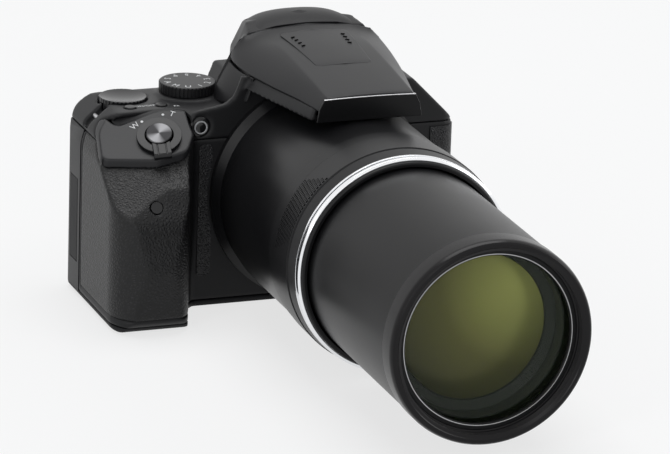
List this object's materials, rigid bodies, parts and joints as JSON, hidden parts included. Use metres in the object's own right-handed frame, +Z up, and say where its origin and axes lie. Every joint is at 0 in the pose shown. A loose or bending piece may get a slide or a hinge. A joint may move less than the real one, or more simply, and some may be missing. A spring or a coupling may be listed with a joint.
{
  "type": "bridge camera",
  "caption": "Compact-bodied bridge camera with deep grip, viewfinder hump and pop-up flash, and a long zoom tube that slides in and out of its barrel.",
  "frame": {"origin": "centre of the tripod socket mouth, in the plane of the base", "axes": "+X to the right seen from the front, +Y towards the viewer, +Z up; the lens points along -Y"},
  "size_m": [0.14, 0.221, 0.1032],
  "materials": {
    "front_shell": "satin",
    "rear_cover": "fine matte",
    "top_cover": "satin",
    "bottom_plate": "matte",
    "grip_rubber": "pebbled",
    "grip_top": "satin",
    "leather_trim": "pebbled",
    "barrel_housing": "satin",
    "fixed_ring": "satin with printed marks",
    "chrome_ring": "bright",
    "barrel_lip": "satin",
    "tripod_socket": "machined",
    "strap_bars": "brushed",
    "front_windows": "clear",
    "eyecup": "matte",
    "eyepiece_glass": "clear",
    "evf_module": "matte",
    "chassis": "die cast",
    "main_board": "solder mask",
    "image_sensor": "gloss",
    "battery": "matte",
    "zoom_motor": "plated",
    "guide_tube": "matte",
    "rear_group": "coated",
    "screws": "plated",
    "zoom_barrel": "satin",
    "front_ring": "satin with a fine thread",
    "retaining_ring": "matte",
    "front_element": "coated",
    "followers": "turned",
    "zoom_group": "coated",
    "cam_tube": "anodised",
    "drive_gear": "cut",
    "mode_dial": "knurled",
    "command_dial": "knurled",
    "shutter_button": "spun",
    "zoom_lever": "satin",
    "power_button": "satin",
    "fn_button": "satin",
    "flash_head": "satin",
    "flash_plate": "gloss, bare",
    "flash_window": "ribbed",
    "screen": "matte",
    "screen_glass": "gloss",
    "battery_door": "matte",
    "door_latch": "ribbed",
    "connector_cover": "matte",
    "selector_ring": "knurled",
    "ok_button": "satin",
    "movie_button": "satin",
    "display_button": "satin",
    "playback_button": "satin",
    "menu_button": "satin",
    "delete_button": "satin",
    "monitor_button": "satin",
    "dioptre_dial": "knurled",
    "flash_button": "satin",
    "side_rocker": "satin",
    "snapback_button": "satin"
  },
  "bodies": {
    "camera_body": {"front_shell": "front_shell", "rear_cover": "rear_cover", "top_cover": "top_cover", "bottom_plate": "bottom_plate", "grip_rubber": "grip_rubber", "grip_top": "grip_top", "leather_trim": "leather_trim", "barrel_housing": "barrel_housing", "fixed_ring": "fixed_ring", "chrome_ring": "chrome_ring", "barrel_lip": "barrel_lip", "tripod_socket": "tripod_socket", "strap_bars": "strap_bars", "front_windows": "front_windows", "eyecup": "eyecup", "eyepiece_glass": "eyepiece_glass", "evf_module": "evf_module", "chassis": "chassis", "main_board": "main_board", "image_sensor": "image_sensor", "battery": "battery", "zoom_motor": "zoom_motor", "guide_tube": "guide_tube", "rear_group": "rear_group", "screws": "screws"},
    "zoom_tube": {"zoom_barrel": "zoom_barrel", "front_ring": "front_ring", "retaining_ring": "retaining_ring", "front_element": "front_element", "followers": "followers"},
    "flash_unit": {"flash_head": "flash_head", "flash_plate": "flash_plate", "flash_window": "flash_window"},
    "screen_unit": {"screen": "screen", "screen_glass": "screen_glass"},
    "mode_dial": {"mode_dial": "mode_dial"},
    "command_dial": {"command_dial": "command_dial"},
    "shutter_button": {"shutter_button": "shutter_button"},
    "zoom_lever": {"zoom_lever": "zoom_lever"},
    "power_button": {"power_button": "power_button"},
    "fn_button": {"fn_button": "fn_button"},
    "battery_door": {"battery_door": "battery_door"},
    "door_latch": {"door_latch": "door_latch"},
    "connector_cover": {"connector_cover": "connector_cover"},
    "selector_ring": {"selector_ring": "selector_ring"},
    "ok_button": {"ok_button": "ok_button"},
    "movie_button": {"movie_button": "movie_button"},
    "display_button": {"display_button": "display_button"},
    "playback_button": {"playback_button": "playback_button"},
    "menu_button": {"menu_button": "menu_button"},
    "delete_button": {"delete_button": "delete_button"},
    "monitor_button": {"monitor_button": "monitor_button"},
    "dioptre_dial": {"dioptre_dial": "dioptre_dial"},
    "flash_button": {"flash_button": "flash_button"},
    "side_rocker": {"side_rocker": "side_rocker"},
    "snapback_button": {"snapback_button": "snapback_button"},
    "zoom_group": {"zoom_group": "zoom_group"},
    "cam_tube": {"cam_tube": "cam_tube"},
    "drive_gear": {"drive_gear": "drive_gear"}
  },
  "joints": [
    {"name": "zoom_slide", "type": "slide", "parent": "camera_body", "child": "zoom_tube", "axis": [0, 1, 0], "range_m": [0, 0.0836]},
    {"name": "cam_turn", "type": "hinge", "parent": "camera_body", "child": "cam_tube", "pos_m": [0, -0.05, 0.0425], "axis": [0, 1, 0], "range_deg": [0, 150]},
    {"name": "zoom_group_slide", "type": "slide", "parent": "camera_body", "child": "zoom_group", "axis": [0, 1, 0], "range_m": [0, 0.03762]},
    {"name": "drive_gear_turn", "type": "hinge", "parent": "camera_body", "child": "drive_gear", "pos_m": [0.03498, -0.009, 0.02064], "axis": [0, 1, 0], "range_deg": [-1226, 0]},
    {"name": "mode_dial_turn", "type": "hinge", "parent": "camera_body", "child": "mode_dial", "pos_m": [-0.0422, 0.0056, 0.0775], "axis": [0, 0, 1], "continuous": true},
    {"name": "command_dial_turn", "type": "hinge", "parent": "camera_body", "child": "command_dial", "pos_m": [-0.0672, 0.0059, 0.0735], "axis": [0, 0, 1], "continuous": true},
    {"name": "shutter_press", "type": "slide", "parent": "camera_body", "child": "shutter_button", "axis": [0.19, 0.5, -0.8449], "range_m": [0, 0.0008], "stiffness_N_per_m": 500},
    {"name": "zoom_lever_turn", "type": "hinge", "parent": "camera_body", "child": "zoom_lever", "pos_m": [-0.06243, -0.0235, 0.06747], "axis": [-0.19, -0.5, 0.8449], "range_deg": [-22, 22], "stiffness_Nm_per_rad": 0.02},
    {"name": "power_press", "type": "slide", "parent": "camera_body", "child": "power_button", "axis": [0, 0, -1], "range_m": [0, 0.0005], "stiffness_N_per_m": 500},
    {"name": "fn_press", "type": "slide", "parent": "camera_body", "child": "fn_button", "axis": [0, 0, -1], "range_m": [0, 0.0005], "stiffness_N_per_m": 500},
    {"name": "flash_open", "type": "hinge", "parent": "camera_body", "child": "flash_unit", "pos_m": [0.002, -0.0048, 0.0966], "axis": [-1, 0, 0], "range_deg": [0, 30]},
    {"name": "screen_swing", "type": "hinge", "parent": "camera_body", "child": "screen_unit", "pos_m": [0.051, 0.0158, 0.0335], "axis": [0, 0, -1], "range_deg": [0, 175]},
    {"name": "battery_door_swing", "type": "hinge", "parent": "camera_body", "child": "battery_door", "pos_m": [-0.0603, -0.0215, 0.0012], "axis": [0, -1, 0], "range_deg": [0, 95]},
    {"name": "door_latch_slide", "type": "slide", "parent": "battery_door", "child": "door_latch", "axis": [1, 0, 0], "range_m": [0, 0.0024]},
    {"name": "connector_cover_swing", "type": "hinge", "parent": "camera_body", "child": "connector_cover", "pos_m": [-0.0844, 0.0032, 0.029], "axis": [0, 0, 1], "range_deg": [0, 90]},
    {"name": "selector_turn", "type": "hinge", "parent": "camera_body", "child": "selector_ring", "pos_m": [-0.06, 0.0185, 0.033], "axis": [0, 1, 0], "continuous": true},
    {"name": "ok_press", "type": "slide", "parent": "camera_body", "child": "ok_button", "axis": [0, -1, 0], "range_m": [0, 0.0005], "stiffness_N_per_m": 500},
    {"name": "movie_press", "type": "slide", "parent": "camera_body", "child": "movie_button", "axis": [0, -1, 0], "range_m": [0, 0.0005], "stiffness_N_per_m": 500},
    {"name": "display_press", "type": "slide", "parent": "camera_body", "child": "display_button", "axis": [0, -1, 0], "range_m": [0, 0.0005], "stiffness_N_per_m": 500},
    {"name": "playback_press", "type": "slide", "parent": "camera_body", "child": "playback_button", "axis": [0, -1, 0], "range_m": [0, 0.0005], "stiffness_N_per_m": 500},
    {"name": "menu_press", "type": "slide", "parent": "camera_body", "child": "menu_button", "axis": [0, -1, 0], "range_m": [0, 0.0005], "stiffness_N_per_m": 500},
    {"name": "delete_press", "type": "slide", "parent": "camera_body", "child": "delete_button", "axis": [0, -1, 0], "range_m": [0, 0.0005], "stiffness_N_per_m": 500},
    {"name": "monitor_press", "type": "slide", "parent": "camera_body", "child": "monitor_button", "axis": [0, -1, 0], "range_m": [0, 0.0005], "stiffness_N_per_m": 500},
    {"name": "dioptre_turn", "type": "hinge", "parent": "camera_body", "child": "dioptre_dial", "pos_m": [0.0258, 0.012, 0.088], "axis": [1, 0, 0], "range_deg": [-140, 140]},
    {"name": "flash_button_press", "type": "slide", "parent": "camera_body", "child": "flash_button", "axis": [-1, 0, 0], "range_m": [0, 0.0008], "stiffness_N_per_m": 500},
    {"name": "side_rocker_tip", "type": "hinge", "parent": "camera_body", "child": "side_rocker", "pos_m": [0, -0.05, 0.0425], "axis": [0, 1, 0], "range_deg": [-3, 3], "stiffness_Nm_per_rad": 2},
    {"name": "snapback_press", "type": "slide", "parent": "camera_body", "child": "snapback_button", "axis": [-1, 0, 0], "range_m": [0, 0.0007], "stiffness_N_per_m": 500}
  ],
  "couplings": [
    {"joint": "cam_turn", "follows": "zoom_slide", "rad_per_m": 31.316},
    {"joint": "zoom_group_slide", "follows": "zoom_slide", "ratio": 0.45},
    {"joint": "drive_gear_turn", "follows": "zoom_slide", "rad_per_m": -255.75}
  ]
}
